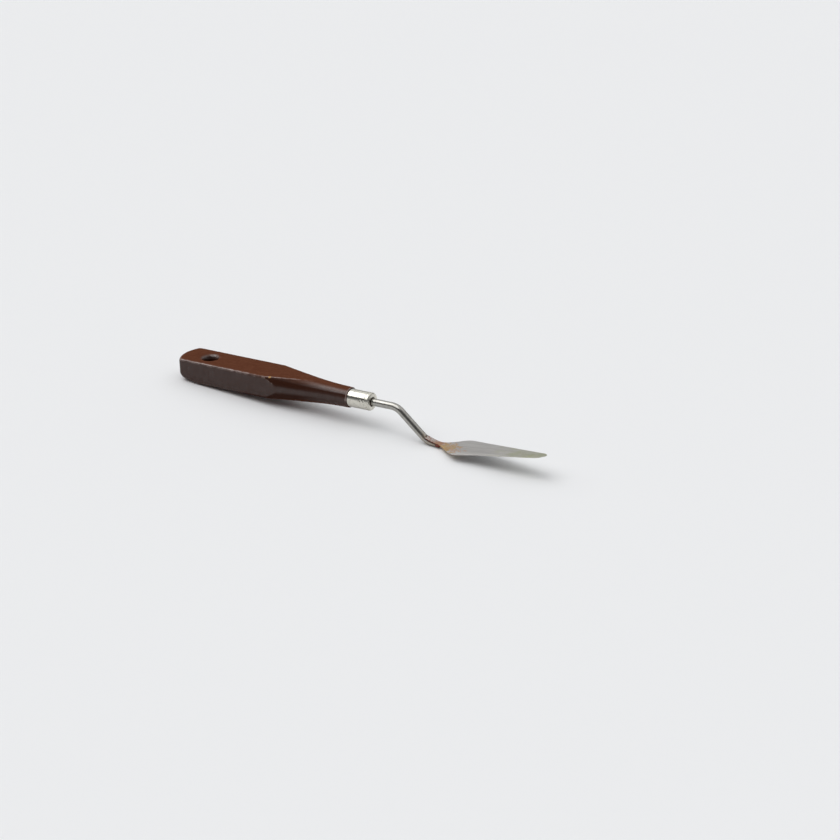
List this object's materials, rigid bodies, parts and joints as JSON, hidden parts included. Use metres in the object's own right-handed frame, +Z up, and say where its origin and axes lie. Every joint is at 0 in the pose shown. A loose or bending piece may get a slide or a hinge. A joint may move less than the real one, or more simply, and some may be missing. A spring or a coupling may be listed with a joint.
{
  "type": "palette knife",
  "caption": "Cranked painting knife: a thin trowel-shaped steel blade on a bent round shank, with a bright ferrule and a flat lacquered wood handle with a hang hole.",
  "frame": {"origin": "on the table, under the middle of the knife as it lies on its butt and on the heel of its cranked shank", "axes": "+X from the butt of the handle to the tip of the blade, +Z up from the table, Y across the blade"},
  "size_m": [0.2074, 0.0185, 0.0179],
  "materials": {
    "lacquered_wood": "reddish-brown lacquer, semi-gloss",
    "nickel_plate": "bright nickel plate, lightly scuffed",
    "polished_steel": "polished round bar",
    "ground_steel": "lengthwise satin grind, heat tint at the root",
    "braze_metal": "oxidised copper-coloured filler"
  },
  "bodies": {
    "knife": {"handle": "lacquered_wood", "ferrule": "nickel_plate", "shank": "polished_steel", "braze": "braze_metal"},
    "leaf": {"blade": "ground_steel"}
  },
  "joints": [
    {"name": "blade_flex", "type": "hinge", "parent": "knife", "child": "leaf", "pos_m": [0.05334, 0, 0.00249], "axis": [0, -1, 0], "range_deg": [-12, 30], "stiffness_Nm_per_rad": 1.3, "deforming": ["blade"]}
  ]
}
